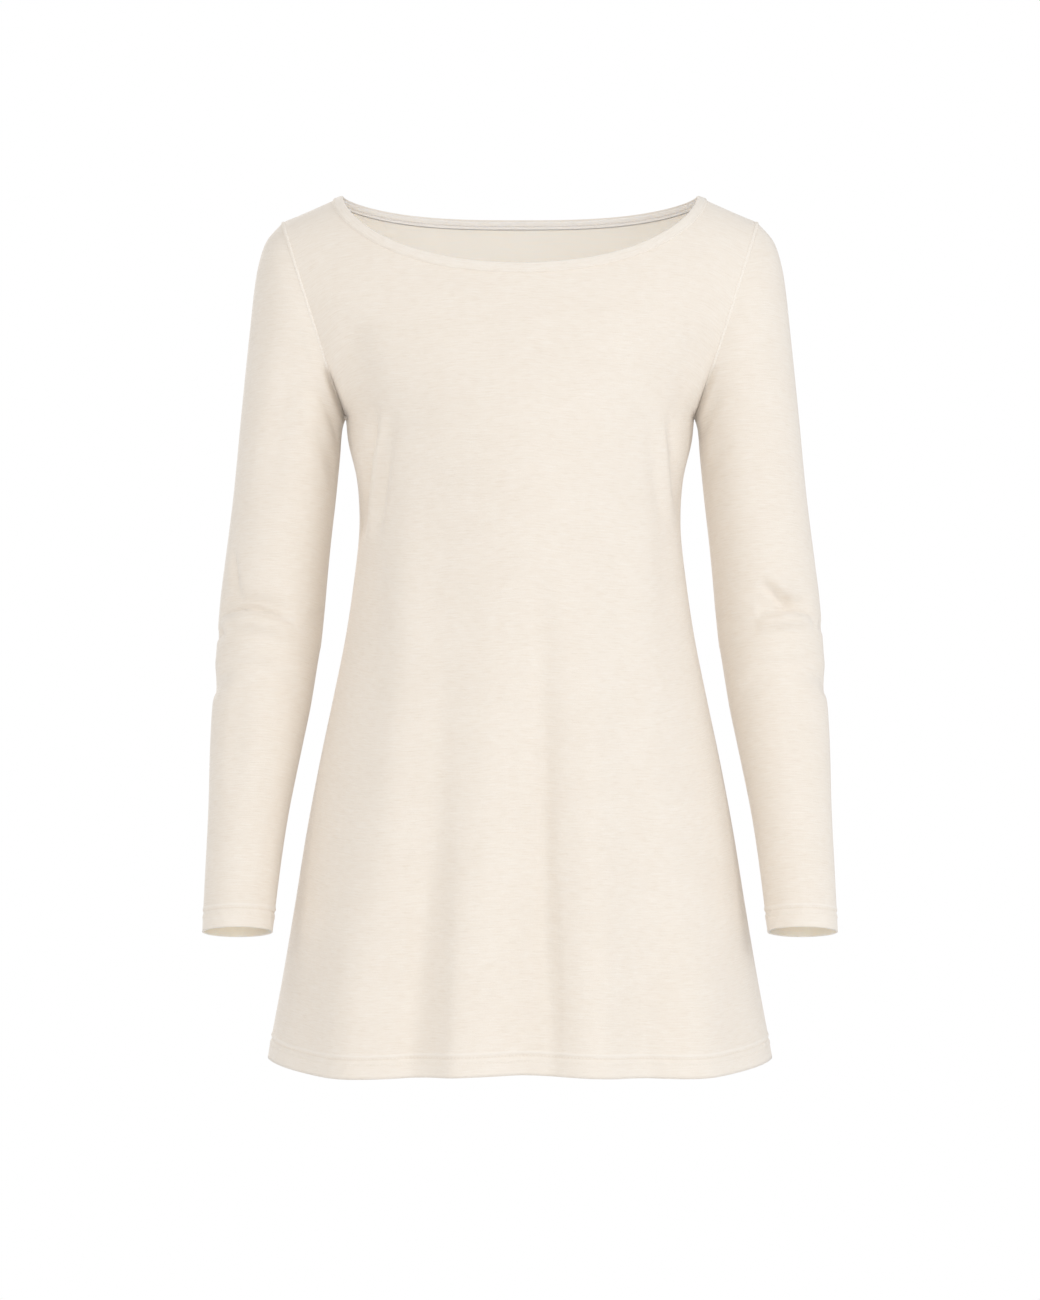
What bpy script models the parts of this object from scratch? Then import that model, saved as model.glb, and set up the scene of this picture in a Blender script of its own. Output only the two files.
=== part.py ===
"""A long-sleeve A-line jersey top with a boat neck, filled out as if worn.

Metres, +Z up, the front faces -Y and +X is the wearer's left. The origin lies midway between the
two points where the shoulder seams meet the neck, at their height.

The cloth is a wall round a hollow. Front and back are lofted from rows: rings round the body below
the underarm, arches from armhole to armhole above it, and last the shoulder seams with the neckline
between them. The sleeves are lofted from rings that fan out of the armhole and run down the arm.
"""

import math
from collections import namedtuple

import bmesh
import bpy
import numpy as np

# Cloth and seams
WALL = 0.0015
SEAM_GAP = 0.0003
BINDING_WALL = 0.0010
BINDING_WIDTH = 0.0080
BINDING_GAP = 0.0004

# Neck corner, where the shoulder seam meets the neckline, and the shoulder tip
NECK_CORNER = np.array((0.1530, 0.0, -0.0010))
SHOULDER_TIP = np.array((0.2030, 0.0, -0.0228))

# Armhole: an oval in a plane that holds the shoulder tip and the underarm point
UNDERARM = np.array((0.1497, 0.0, -0.1900))
ARMHOLE_HALF_DEPTH = 0.0575
ARMHOLE_WRAP = math.radians(45)

# How finely each piece is cut up. Rows run across a panel: the side seam ends at the underarm, the
# armhole at the shoulder tip and the shoulder seam at the neck corner.
HALF_COLUMNS = 18
SIDE_ROWS = 11
ROW_CROWDING = 1.35
ARMHOLE_ROWS = 10
SHOULDER_ROWS = 4
UNDERARM_ROW = SIDE_ROWS
WIDEST_ROW = SIDE_ROWS + ARMHOLE_ROWS // 2
TIP_ROW = SIDE_ROWS + ARMHOLE_ROWS
SLEEVE_SIDES = 2 * ARMHOLE_ROWS

# Rings round the body, from the hem to the underarm. The side and the middle of a ring lie at
# different heights and it sags between them; front and back are how far its middle reaches.
BodyRing = namedtuple("BodyRing", "name side_z middle_z sag half_width front back")
BODY_RINGS = (
    BodyRing("hem", -0.7390, -0.7405, 0.0060, 0.2160, 0.1530, 0.1500),
    BodyRing("low skirt", -0.6820, -0.6850, 0.0045, 0.2052, 0.1480, 0.1440),
    BodyRing("mid skirt", -0.6050, -0.6090, 0.0025, 0.1920, 0.1415, 0.1335),
    BodyRing("low hip", -0.5190, -0.5240, 0.0010, 0.1778, 0.1335, 0.1205),
    BodyRing("high hip", -0.4330, -0.4385, 0.0000, 0.1600, 0.1260, 0.1065),
    BodyRing("below the waist", -0.3640, -0.3700, 0.0000, 0.1466, 0.1220, 0.0970),
    BodyRing("waist", -0.3100, -0.3170, 0.0000, 0.1397, 0.1215, 0.0940),
    BodyRing("above the waist", -0.2690, -0.2770, 0.0000, 0.1368, 0.1225, 0.0955),
    BodyRing("bust", -0.2300, -0.2390, 0.0000, 0.1418, 0.1235, 0.0995),
    BodyRing("under the arm", -0.2060, -0.2155, 0.0000, 0.1478, 0.1225, 0.1015),
    BodyRing("underarm", -0.1900, -0.2000, 0.0000, 0.1497, 0.1205, 0.1025),
)

# The yoke: the middle of the chest or back level with the widest part of the armhole, how far it
# reaches, how much it leans back there, and the neckline's drop and roundness
Yoke = namedtuple("Yoke", "middle_z reach lean neck_drop neck_spread neck_round")
FRONT_YOKE = Yoke(-0.1350, 0.1065, 0.20, 0.0650, 2.2, 0.60)
BACK_YOKE = Yoke(-0.1200, 0.1025, 0.03, 0.0136, 3.0, 0.85)

# Soft folds that run down the skirt, as places across the front as seen from ahead. A height
# below nought is a valley.
Fold = namedtuple("Fold", "name top_x hem_x top_z half_width height")
FRONT_FOLDS = (
    Fold("right-hand ridge", -0.1150, -0.1420, -0.3300, 0.0260, 0.0120),
    Fold("right-hand valley", -0.0700, -0.0860, -0.4300, 0.0180, -0.0110),
    Fold("middle ridge", -0.0380, -0.0520, -0.4600, 0.0210, 0.0070),
    Fold("middle valley", 0.0130, 0.0060, -0.3300, 0.0210, -0.0120),
    Fold("left-hand ridge", 0.0560, 0.0620, -0.3600, 0.0240, 0.0110),
    Fold("left-hand valley", 0.0990, 0.1060, -0.5200, 0.0180, -0.0080),
    Fold("left-hand edge ridge", 0.1330, 0.1490, -0.4400, 0.0220, 0.0090),
)
BACK_FOLDS = (
    Fold("left-hand ridge", 0.1080, 0.1320, -0.3500, 0.0260, 0.0110),
    Fold("left-hand valley", 0.0620, 0.0720, -0.4300, 0.0200, -0.0120),
    Fold("middle ridge", 0.0080, 0.0130, -0.3400, 0.0270, 0.0100),
    Fold("right-hand valley", -0.0480, -0.0530, -0.4600, 0.0200, -0.0110),
    Fold("right-hand ridge", -0.1000, -0.1200, -0.3900, 0.0260, 0.0110),
)
HEM_Z = BODY_RINGS[0].side_z

# Rings round the left sleeve, each given by its outermost and innermost point as seen from ahead.
# Lean tips a ring's back edge down, in degrees, where the forearm swings forwards.
SleeveRing = namedtuple("SleeveRing", "name outer_x outer_z inner_x inner_z middle_y half_depth lean")
SLEEVE_RINGS = (
    SleeveRing("armhole", 0.2030, -0.0228, 0.1497, -0.1900, 0.0000, 0.0575, 0),
    SleeveRing("cap top", 0.2142, -0.0340, 0.1510, -0.1935, 0.0000, 0.0582, 0),
    SleeveRing("cap", 0.2225, -0.0535, 0.1522, -0.1970, 0.0005, 0.0584, 0),
    SleeveRing("cap side", 0.2272, -0.0780, 0.1531, -0.2005, 0.0010, 0.0580, 0),
    SleeveRing("cap foot", 0.2306, -0.1070, 0.1538, -0.2045, 0.0020, 0.0572, 0),
    SleeveRing("upper arm top", 0.2350, -0.1480, 0.1545, -0.2095, 0.0030, 0.0560, -1),
    SleeveRing("upper arm", 0.2401, -0.1980, 0.1556, -0.2220, 0.0045, 0.0545, -2),
    SleeveRing("mid upper arm", 0.2450, -0.2480, 0.1592, -0.2580, 0.0065, 0.0530, -3),
    SleeveRing("low upper arm", 0.2512, -0.2980, 0.1648, -0.3070, 0.0085, 0.0510, -3),
    SleeveRing("above the elbow", 0.2570, -0.3420, 0.1688, -0.3510, 0.0095, 0.0500, -2),
    SleeveRing("elbow", 0.2590, -0.3640, 0.1708, -0.3740, 0.0090, 0.0495, 0),
    SleeveRing("below the elbow", 0.2606, -0.3900, 0.1748, -0.3995, 0.0060, 0.0485, 4),
    SleeveRing("forearm top", 0.2632, -0.4290, 0.1808, -0.4380, -0.0010, 0.0465, 8),
    SleeveRing("forearm", 0.2650, -0.4770, 0.1902, -0.4850, -0.0110, 0.0430, 10),
    SleeveRing("low forearm", 0.2654, -0.5225, 0.1985, -0.5285, -0.0210, 0.0395, 11),
    SleeveRing("wrist", 0.2674, -0.5835, 0.2064, -0.5868, -0.0350, 0.0362, 11),
    SleeveRing("cuff", 0.2689, -0.6292, 0.2108, -0.6286, -0.0455, 0.0350, 11),
)

# How far down the sleeve's run of rings each mesh ring lies, closer together at the elbow
SLEEVE_STEPS = ((0.0, 0.10, 4), (0.10, 0.30, 4), (0.30, 0.52, 4), (0.52, 0.64, 6), (0.64, 1.0, 7))

# The two creases over the front of each elbow, as places round the ring (0 the outermost point,
# a quarter of a turn the front) and along the run of rings. Depth is inwards.
Crease = namedtuple("Crease", "name turn reach run rise half_length depth")
ELBOW_CREASES = (
    Crease("fold over the elbow", 0.20, 0.17, 0.585, 0.014, 0.010, 0.0042),
    Crease("tuck at the outer edge", 0.03, 0.07, 0.612, 0.000, 0.009, 0.0030),
)

CREAM = (0.86, 0.81, 0.735, 1.0)


def clear_scene():
    for thing in list(bpy.data.objects):
        bpy.data.objects.remove(thing)


def smooth_table(places, values, at):
    """A smooth curve through a table: values, a row for each place, read off at each of at."""
    places = np.asarray(places, float)
    values = np.asarray(values, float)
    steps = np.diff(places)
    slopes = np.diff(values, axis=0) / steps[:, None]
    tangents = np.empty_like(values)
    tangents[0], tangents[-1] = slopes[0], slopes[-1]
    before, after = steps[:-1, None], steps[1:, None]
    tangents[1:-1] = (slopes[:-1] * after + slopes[1:] * before) / (before + after)
    at = np.atleast_1d(at)
    cell = np.clip(np.searchsorted(places, at, side="right") - 1, 0, len(steps) - 1)
    step = steps[cell][:, None]
    t = ((at - places[cell]) / steps[cell])[:, None]
    return (
        values[cell] * (2 * t**3 - 3 * t**2 + 1)
        + tangents[cell] * step * (t**3 - 2 * t**2 + t)
        + values[cell + 1] * (3 * t**2 - 2 * t**3)
        + tangents[cell + 1] * step * (t**3 - t**2)
    )


def unit(vectors):
    return vectors / np.linalg.norm(vectors, axis=-1, keepdims=True)


def ease(share):
    share = np.clip(share, 0, 1)
    return share * share * (3 - 2 * share)


def fold_lift(folds, x, z):
    """How far the folds lift the cloth off the plain body at each point."""
    lift = np.zeros_like(x)
    for fold in folds:
        share = (fold.top_z - z) / (fold.top_z - HEM_Z)
        across = fold.top_x + (fold.hem_x - fold.top_x) * np.clip(share, 0, 1)
        lift += fold.height * ease(share) * np.exp(-(((x - across) / fold.half_width) ** 2))
    return lift


def body_row(ring, face, folds, angles):
    """One row across a panel below the underarm. face is -1 for the front and 1 for the back."""
    side_z, middle_z, sag, half_width, front, back = ring
    reach = front if face < 0 else back
    x = half_width * np.sin(angles)
    y = face * reach * np.cos(angles)
    z = side_z + (middle_z - side_z) * np.cos(angles) ** 2 - sag * np.sin(2 * angles) ** 2
    out = unit(np.stack([np.sin(angles) / half_width, face * np.cos(angles) / reach], axis=1))
    lift = fold_lift(folds, x, z)
    return np.stack([x + lift * out[:, 0], y + lift * out[:, 1], z], axis=1)


def armhole_point(turn, face):
    """A point of the armhole: turn 0 is the shoulder tip and pi the underarm point."""
    centre, up = (SHOULDER_TIP + UNDERARM) / 2, (SHOULDER_TIP - UNDERARM) / 2
    return centre + up * math.cos(turn) + np.array((0, face * ARMHOLE_HALF_DEPTH, 0)) * math.sin(turn)


def armhole_tangents(turns, face):
    up = (SHOULDER_TIP - UNDERARM) / 2
    depth = np.array((0, face * ARMHOLE_HALF_DEPTH, 0))
    return unit(np.outer(np.cos(turns), depth) - np.outer(np.sin(turns), up))


def arch_row(turn, face, middle_z, reach, shares):
    """One row from armhole to armhole, between the underarm and the armhole's widest part."""
    edge = armhole_point(turn, face)
    start = ARMHOLE_WRAP * math.sin(turn) ** 2
    angles = math.pi / 2 - np.abs(shares) * (math.pi / 2 - start)
    rise = (np.sin(angles) - math.sin(start)) / (1 - math.sin(start))
    x = np.sign(shares) * edge[0] * np.cos(angles) / math.cos(start)
    y = edge[1] + (face * reach - edge[1]) * rise
    z = edge[2] + (middle_z - edge[2]) * rise**2
    return np.stack([x, y, z], axis=-1)


def ridge_height(x):
    """The height of the shoulder line, carried on in a low arch over the neck opening."""
    slope = (NECK_CORNER[2] - SHOULDER_TIP[2]) / (SHOULDER_TIP[0] - NECK_CORNER[0])
    arch = slope * NECK_CORNER[0] / 3 * (1 - np.clip(x / NECK_CORNER[0], 0, 1) ** 3)
    return NECK_CORNER[2] + np.where(x < NECK_CORNER[0], arch, -slope * (x - NECK_CORNER[0]))


def yoke_point(share, angle, face, yoke):
    """The yoke's surface: angle 0 is its lowest row, a quarter turn the shoulder line."""
    low = arch_row(math.pi / 2, face, yoke.middle_z, yoke.reach, share)
    widest = armhole_point(math.pi / 2, face)[0]
    flare = SHOULDER_TIP[0] / widest - 1
    rise = ridge_height(low[..., 0] * (1 + flare)) - low[..., 2]
    up = np.sin(angle)
    lean = -face * yoke.lean * (1 - share**2) * rise * up * (1 - up)
    return np.stack(
        [low[..., 0] * (1 + flare * up), low[..., 1] * np.cos(angle) + lean, low[..., 2] + rise * up],
        axis=-1,
    )


def neckline(face, yoke):
    """Half the neckline from the middle to the corner, as shares and angles on the yoke."""
    x = NECK_CORNER[0] * np.sin(np.linspace(0, math.pi / 2, 400)) ** 0.8
    z = NECK_CORNER[2] - yoke.neck_drop * (1 - (x / NECK_CORNER[0]) ** yoke.neck_spread) ** yoke.neck_round
    widest = armhole_point(math.pi / 2, face)[0]
    flare = SHOULDER_TIP[0] / widest - 1
    span = math.pi / 2 - ARMHOLE_WRAP
    up = np.full_like(x, 0.5)
    for _ in range(60):
        across = np.clip(x / (1 + flare * up) * math.cos(ARMHOLE_WRAP) / widest, 0, 1)
        share = (math.pi / 2 - np.arccos(across)) / span
        low_z = arch_row(math.pi / 2, face, yoke.middle_z, yoke.reach, share)[:, 2]
        up = np.clip((z - low_z) / (ridge_height(x / (1 + flare * up) * (1 + flare)) - low_z), 0, 1)
    share[-1], up[-1] = share_of_seam(NECK_CORNER[0]), 1
    angle = np.arcsin(up)
    points = yoke_point(share, angle, face, yoke)
    along = np.concatenate([[0], np.cumsum(np.linalg.norm(np.diff(points, axis=0), axis=1))])
    at = np.linspace(0, along[-1], HALF_COLUMNS + 1)
    return np.interp(at, along, share), np.interp(at, along, angle)


def share_of_seam(x):
    """The share across the yoke at a place on the shoulder seam."""
    across = np.clip(x / SHOULDER_TIP[0] * math.cos(ARMHOLE_WRAP), 0, 1)
    return (math.pi / 2 - np.arccos(across)) / (math.pi / 2 - ARMHOLE_WRAP)


def inside_neckline(share, angle, face, yoke):
    """The neckline moved over the yoke by the width of the binding."""
    points = yoke_point(share, angle, face, yoke)
    step = 1e-4
    by_share = (yoke_point(share + step, angle, face, yoke) - points) / step
    by_angle = (points - yoke_point(share, angle - step, face, yoke)) / step
    along = np.gradient(points, axis=0)
    along[0] = (1, 0, 0)
    along[-1] = (0, 1, 0)
    normal = unit(np.cross(by_share, by_angle))
    inward = unit(np.cross(normal, along))
    inward *= np.sign((inward * (by_share * 0.5 - by_angle * 0.2)).sum(axis=1, keepdims=True))
    moved = []
    for k, way in enumerate(inward):
        ways = np.stack([by_share[k], by_angle[k]], axis=1)
        moved.append(np.linalg.lstsq(ways, way * BINDING_WIDTH, rcond=None)[0])
    moved = np.array(moved)
    moved[0, 0] = moved[-1, 1] = 0
    return share + moved[:, 0], angle + moved[:, 1]


def yoke_rows(face, yoke):
    """Rows above the armhole's widest part, evened out over the yoke's surface."""
    count = TIP_ROW - WIDEST_ROW + SHOULDER_ROWS
    tip = TIP_ROW - WIDEST_ROW
    share = np.zeros((count + 1, HALF_COLUMNS + 1))
    angle = np.zeros_like(share)
    share[-1], angle[-1] = neckline(face, yoke)
    share[-2], angle[-2] = inside_neckline(share[-1], angle[-1], face, yoke)
    share[0] = np.linspace(0, 1, HALF_COLUMNS + 1)
    share[: tip + 1, -1] = 1
    angle[: tip + 1, -1] = np.linspace(0, math.pi / 2, tip + 1)
    share[tip:-1, -1] = np.linspace(1, share[-2, -1], SHOULDER_ROWS)
    angle[tip:, -1] = math.pi / 2
    angle[:-1, 0] = np.linspace(0, angle[-2, 0], count)
    for grid in (share, angle):
        inner = np.linspace(0, 1, count)[:, None]
        grid[1:-2, 1:-1] = (grid[0] * (1 - inner) + grid[-2] * inner)[1:-1, 1:-1]
        for _ in range(400):
            around = grid[:-3, 1:-1] + grid[2:-1, 1:-1] + grid[1:-2, :-2] + grid[1:-2, 2:]
            grid[1:-2, 1:-1] = around / 4
    right = yoke_point(share, angle, face, yoke)
    return list(np.concatenate([right[:, :0:-1] * (-1, 1, 1), right], axis=1))[1:]


def panel_grid(face):
    """The front or back as rows of points, hem first, before the seams are parted."""
    folds = FRONT_FOLDS if face < 0 else BACK_FOLDS
    yoke = FRONT_YOKE if face < 0 else BACK_YOKE
    shares = np.linspace(-1, 1, 2 * HALF_COLUMNS + 1)
    table = np.array([ring[1:] for ring in BODY_RINGS])
    steps = 1 - (1 - np.linspace(0, 1, SIDE_ROWS + 1)) ** ROW_CROWDING
    rings = smooth_table(table[:, 0], table, HEM_Z + (UNDERARM[2] - HEM_Z) * steps)
    rows = [body_row(ring, face, folds, shares * math.pi / 2) for ring in rings]
    low = BODY_RINGS[-1]
    low_reach = low.front if face < 0 else low.back
    for k in range(1, WIDEST_ROW - UNDERARM_ROW + 1):
        share = k / (WIDEST_ROW - UNDERARM_ROW)
        middle_z = low.middle_z + (yoke.middle_z - low.middle_z) * share
        reach = low_reach + (yoke.reach - low_reach) * share
        rows.append(arch_row(math.pi * (1 - share / 2), face, middle_z, reach, shares))
    return np.array(rows + yoke_rows(face, yoke))


def sleeve_grid():
    """The left sleeve as rings of points, armhole first, starting at the outermost point."""
    table = np.array([ring[1:] for ring in SLEEVE_RINGS])
    outer, inner = table[:, 0:2], table[:, 2:4]
    strides = [np.linalg.norm(np.diff(side, axis=0), axis=1) for side in (outer, inner)]
    along = np.concatenate([[0], np.cumsum(np.mean(strides, axis=0))])
    runs = np.concatenate(
        [np.linspace(first, last, count, endpoint=False) for first, last, count in SLEEVE_STEPS] + [[1.0]]
    )
    rings = smooth_table(along / along[-1], table, runs)
    turns = np.linspace(0, 2 * math.pi, SLEEVE_SIDES, endpoint=False)
    grid = []
    for run, (outer_x, outer_z, inner_x, inner_z, middle_y, half_depth, lean) in zip(runs, rings):
        centre = np.array(((outer_x + inner_x) / 2, middle_y, (outer_z + inner_z) / 2))
        outward = np.array(((outer_x - inner_x) / 2, 0, (outer_z - inner_z) / 2))
        lean = math.radians(lean)
        forward = half_depth * np.array((0, -math.cos(lean), math.sin(lean)))
        spokes = np.outer(np.cos(turns), outward) + np.outer(np.sin(turns), forward)
        grid.append(centre + spokes * (1 - crease_depth(run, turns, along[-1]) / half_depth)[:, None])
    return np.array(grid)


def crease_depth(run, turns, length):
    """How far the elbow creases press each point of a ring inwards."""
    depth = np.zeros_like(turns)
    for crease in ELBOW_CREASES:
        turn = (turns / (2 * math.pi) - crease.turn + 0.5) % 1 - 0.5
        bow = crease.rise * (turn / crease.reach) ** 2
        away = (run - crease.run) * length - bow
        depth += (
            crease.depth
            * np.exp(-((away / crease.half_length) ** 2))
            * np.exp(-((turn / crease.reach) ** 4))
        )
    return depth


def seam_shift(tangents, own, other):
    """How far an edge moves for two walls sewn along it to stay SEAM_GAP apart, at any angle."""
    ways = [way - (way * tangents).sum(axis=1, keepdims=True) * tangents for way in (own, other)]
    own, other = (unit(way) for way in ways)
    half_cosine = np.sqrt(np.clip((1 + (own * other).sum(axis=1, keepdims=True)) / 2, 0, 1))
    return unit(own - other) * (SEAM_GAP / 2 + WALL / 2 * half_cosine)


def ways_in(grid, edge, near):
    """From each point of a panel's side edge, the way into the panel: across, and across and down."""
    across = grid[:, near] - grid[:, edge]
    below = np.concatenate([grid[:1, near], grid[:-1, near]]) - grid[:, edge]
    return unit(across), unit(across + below)


def part_panel_seams(grid, sleeve, face):
    """The panel drawn back from its side, armhole and shoulder seams."""
    parted = grid.copy()
    turns = math.pi * (1 - np.arange(ARMHOLE_ROWS + 1) / ARMHOLE_ROWS)
    sleeve_ways = unit(sleeve[1] - sleeve[0])[sleeve_places(face)]
    for edge, near, side in ((0, 1, -1), (-1, -2, 1)):
        across, inwards = ways_in(grid, edge, near)
        for seam in (slice(0, UNDERARM_ROW + 1), slice(TIP_ROW, None)):
            along = unit(np.gradient(grid[seam, edge], axis=0))
            parted[seam, edge] += seam_shift(along, across[seam], across[seam] * (1, -1, 1))
        armhole = slice(UNDERARM_ROW, TIP_ROW + 1)
        along = armhole_tangents(turns, face) * (side, 1, 1)
        parted[armhole, edge] += seam_shift(along, inwards[armhole], sleeve_ways * (side, 1, 1))
    return parted


def sleeve_places(face):
    """Which points of a sleeve ring meet the panel's armhole, from the underarm up to the tip."""
    places = np.arange(ARMHOLE_ROWS, -1, -1)
    return places if face < 0 else (-places) % SLEEVE_SIDES


def part_sleeve_seam(sleeve, front, back):
    """The sleeve's first rings drawn away from the armhole."""
    panel_ways = np.zeros_like(sleeve[0])
    for grid, face in ((front, -1), (back, 1)):
        inwards = ways_in(grid, -1, -2)[1][UNDERARM_ROW : TIP_ROW + 1]
        panel_ways[sleeve_places(face)] += inwards
    turns = np.linspace(0, 2 * math.pi, SLEEVE_SIDES, endpoint=False)
    shift = seam_shift(armhole_tangents(turns, -1), unit(sleeve[1] - sleeve[0]), unit(panel_ways))
    travelled = np.linalg.norm(np.diff(sleeve, axis=0), axis=2).cumsum(axis=0)
    parted = sleeve.copy()
    parted[0] += shift
    for k in range(1, 8):
        parted[k] += shift * ease(1 - travelled[k - 1] / 0.03)[:, None]
    return parted


def surface_mesh(name, grid, closed):
    """A sheet of four-sided faces over rows of points. closed joins the last column to the first."""
    mesh = bpy.data.meshes.new(name)
    sheet = bmesh.new()
    rows = [[sheet.verts.new(point) for point in row] for row in grid]
    columns = len(rows[0]) if closed else len(rows[0]) - 1
    for low, high in zip(rows, rows[1:]):
        for k in range(columns):
            after = (k + 1) % len(low)
            sheet.faces.new((low[k], low[after], high[after], high[k]))
    sheet.to_mesh(mesh)
    sheet.free()
    return mesh


def outward_volume(grid, closed):
    """Above nought where the faces of surface_mesh look away from the middle of the points."""
    middle = grid.reshape(-1, 3).mean(axis=0)
    after = np.roll(grid, -1, axis=1) if closed else grid[:, 1:]
    here = grid if closed else grid[:, :-1]
    normal = np.cross(after[:-1] - here[:-1], here[1:] - here[:-1])
    return ((here[:-1] - middle) * normal).sum()


def cloth_object(name, grid, closed, wall, collection, material):
    """A piece of cloth: a sheet through the middle of its wall, given its thickness by Solidify."""
    if outward_volume(grid, closed) < 0:
        grid = grid[:, ::-1]
    piece = bpy.data.objects.new(name, surface_mesh(name, grid, closed))
    collection.objects.link(piece)
    piece.data.materials.append(material)
    piece.data.shade_smooth()
    thicken = piece.modifiers.new("wall", "SOLIDIFY")
    thicken.thickness = wall
    thicken.offset = 0
    thicken.use_even_offset = True
    return piece


def mirrored(grid):
    return grid[:, ::-1] * (-1, 1, 1)


def grid_normals(grid):
    """The outward direction at each point of an open panel."""
    across, up = np.gradient(grid, axis=1), np.gradient(grid, axis=0)
    return unit(np.cross(across, up))


def binding_grid(front, back):
    """The neck binding's section, folded over the neck edge, at each column round the neck."""
    clear = WALL / 2 + BINDING_GAP + BINDING_WALL / 2
    sides = [(grid[-2:], grid_normals(grid)[-2:] * -face) for grid, face in ((front, -1), (back, 1))]
    (front_rows, front_out), (back_rows, back_out) = sides
    for end in (0, -1):
        front_out[:, end] = unit(front_out[:, end] + back_out[:, end])
    low, edge = np.concatenate([front_rows, back_rows[:, -2:0:-1]], axis=1)
    low_out, edge_out = np.concatenate([front_out, back_out[:, -2:0:-1]], axis=1)
    beyond = edge - low
    beyond = unit(beyond - (beyond * edge_out).sum(axis=1, keepdims=True) * edge_out)
    return np.array(
        [
            low + low_out * clear,
            edge + edge_out * clear + beyond * clear * 0.4,
            edge + beyond * clear,
            edge - edge_out * clear + beyond * clear * 0.4,
            low - low_out * clear,
        ]
    )


def cloth_material():
    material = bpy.data.materials.new("cream jersey")
    material.use_nodes = True
    shader = material.node_tree.nodes["Principled BSDF"]
    shader.inputs["Base Color"].default_value = CREAM
    shader.inputs["Roughness"].default_value = 0.9
    shader.inputs["Metallic"].default_value = 0.0
    return material


def main():
    clear_scene()
    top = bpy.data.collections.new("long-sleeve top")
    bpy.context.scene.collection.children.link(top)
    front_plain, back_plain, sleeve_plain = panel_grid(-1), panel_grid(1), sleeve_grid()
    front = part_panel_seams(front_plain, sleeve_plain, -1)
    back = part_panel_seams(back_plain, sleeve_plain, 1)
    sleeve = part_sleeve_seam(sleeve_plain, front_plain, back_plain)
    cloth_object("front", front, False, WALL, top, cloth_material())
    cloth_object("back", back, False, WALL, top, cloth_material())
    cloth_object("sleeve_left", sleeve, True, WALL, top, cloth_material())
    cloth_object("sleeve_right", mirrored(sleeve), True, WALL, top, cloth_material())
    cloth_object("neck_binding", binding_grid(front_plain, back_plain), True, BINDING_WALL, top, cloth_material())


main()
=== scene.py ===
# %% [markdown]
# # A long-sleeve top in slub jersey
# This lesson dresses a plain model of a long-sleeve top: a wide boat neck, narrow set-in sleeves and a
# skirt that flares into soft folds. The cloth is cream jersey, knitted from uneven yarn, and the top is
# filled out as if it were worn. All sizes are metres, the front faces -Y and +X is the wearer's left.

# %% Load the plain model
import math
from collections import namedtuple

import bmesh
import bpy
import numpy as np
from mathutils import Matrix, Vector


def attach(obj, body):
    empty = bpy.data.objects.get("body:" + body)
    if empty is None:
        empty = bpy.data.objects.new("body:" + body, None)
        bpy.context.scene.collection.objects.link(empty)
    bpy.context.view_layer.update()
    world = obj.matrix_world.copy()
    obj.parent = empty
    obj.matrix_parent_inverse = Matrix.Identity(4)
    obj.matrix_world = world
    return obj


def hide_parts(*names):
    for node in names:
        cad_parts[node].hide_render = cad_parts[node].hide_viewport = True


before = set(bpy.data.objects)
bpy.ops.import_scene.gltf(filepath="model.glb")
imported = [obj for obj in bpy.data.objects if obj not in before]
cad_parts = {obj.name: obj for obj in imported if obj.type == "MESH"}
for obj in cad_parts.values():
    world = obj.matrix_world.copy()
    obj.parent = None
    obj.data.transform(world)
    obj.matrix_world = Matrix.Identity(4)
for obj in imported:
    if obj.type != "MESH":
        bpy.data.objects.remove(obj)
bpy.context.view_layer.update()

# %% [markdown]
# ## The camera
# A product photo like this one is taken from a few metres off with a long lens, level with the middle of
# the garment, so the camera looks straight along +Y. Its lens is worked out from the height that it has
# to frame where the top hangs.

# %% Place the camera
CAMERA_DISTANCE = 3.5
CAMERA_HEIGHT = -0.3896
FRAMED_HEIGHT = 1.118

lens_data = bpy.data.cameras.new("camera")
lens_data.lens = lens_data.sensor_width * CAMERA_DISTANCE / FRAMED_HEIGHT
camera = bpy.data.objects.new("camera", lens_data)
camera.location = (0, -CAMERA_DISTANCE, CAMERA_HEIGHT)
camera.rotation_euler = (math.pi / 2, 0, 0)
bpy.context.scene.collection.objects.link(camera)
bpy.context.scene.camera = camera
print(f"lens {lens_data.lens:.1f} mm")

# %% [markdown]
# ## From walls back to rows of points
# Each plain panel is a wall: an outer skin, an inner skin and rims between them, all in triangles. The
# panels were lofted from rows of points, and those rows are the best thing to build cloth on, because
# they run the way the yarn does. A Subdivision Surface on the wall would be quicker, but it pulls cloth
# off its points and blunts the corners at the underarm and the shoulder tip. So the rims are split off
# where the surface turns sharply, the larger skin is kept, and its rows are walked one strip at a time.

# %% Keep a wall's outer skin
RIM_ANGLE = math.radians(48)


def outer_skin(node):
    """The outside of a wall: the largest part of it that no sharp edge crosses."""
    skin = bmesh.new()
    skin.from_mesh(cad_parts[node].data)
    bmesh.ops.remove_doubles(skin, verts=skin.verts, dist=1e-5)
    rims = [edge for edge in skin.edges if edge.calc_face_angle(0) > RIM_ANGLE]
    bmesh.ops.split_edges(skin, edges=rims)
    largest, size, seen = [], 0, set()
    for first in skin.faces:
        if first in seen:
            continue
        island, reached = [], [first]
        seen.add(first)
        while reached:
            face = reached.pop()
            island.append(face)
            beside = {other for edge in face.edges for other in edge.link_faces} - seen
            seen |= beside
            reached.extend(beside)
        area = sum(face.calc_area() for face in island)
        if area > size:
            largest, size = island, area
    kept = set(largest)
    bmesh.ops.delete(skin, geom=[face for face in skin.faces if face not in kept], context="FACES")
    bmesh.ops.remove_doubles(skin, verts=skin.verts, dist=1e-5)
    print(f"{node}: {size:.4f} square metres of outer skin")
    return skin


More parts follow.
